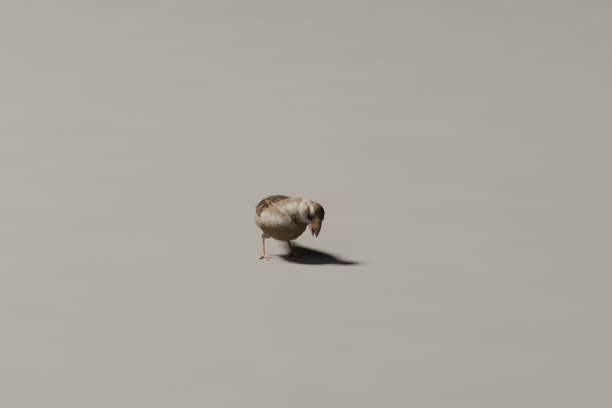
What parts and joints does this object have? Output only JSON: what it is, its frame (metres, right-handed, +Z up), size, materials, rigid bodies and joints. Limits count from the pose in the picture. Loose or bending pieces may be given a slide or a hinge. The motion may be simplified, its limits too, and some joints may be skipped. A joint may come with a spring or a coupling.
{
  "type": "house sparrow",
  "caption": "Life-size house sparrow, a brown hen bird, standing with its neck bent to its left and its open bill held down to feed.",
  "frame": {"origin": "bottom centre of the whole bird's box, on the ground", "axes": "+Z up; the body points along -Y, from the tail at +Y; the bird's left side is +X"},
  "size_m": [0.0518, 0.124, 0.056],
  "materials": {
    "plumage_grey": "small grey-buff body feathers",
    "plumage_brown": "small grey-brown head feathers",
    "wing_brown": "folded brown wing feathers with buff edges",
    "tail_brown": "dark brown tail feathers with paler edges",
    "bill_horn": "horn, pinkish below and darker on the ridge",
    "eye_dark": "wet dark brown eye",
    "leg_pink": "pinkish-brown scaled skin",
    "claw_dark": "dark horn"
  },
  "bodies": {
    "root": {"trunk": "plumage_grey", "neck": "plumage_grey", "head": "plumage_brown", "eye_right": "eye_dark", "eye_left": "eye_dark", "bill_upper": "bill_horn", "bill_lower": "bill_horn", "wing_right": "wing_brown", "wing_left": "wing_brown", "tail": "tail_brown", "thigh_right": "plumage_grey", "shank_right": "leg_pink", "foot_right": "leg_pink", "toe_right_inner": "leg_pink", "claw_right_inner": "claw_dark", "toe_right_middle": "leg_pink", "claw_right_middle": "claw_dark", "toe_right_outer": "leg_pink", "claw_right_outer": "claw_dark", "toe_right_hind": "leg_pink", "claw_right_hind": "claw_dark", "thigh_left": "plumage_grey", "shank_left": "leg_pink", "foot_left": "leg_pink", "toe_left_inner": "leg_pink", "claw_left_inner": "claw_dark", "toe_left_middle": "leg_pink", "claw_left_middle": "claw_dark", "toe_left_outer": "leg_pink", "claw_left_outer": "claw_dark", "toe_left_hind": "leg_pink", "claw_left_hind": "claw_dark"}
  },
  "joints": []
}
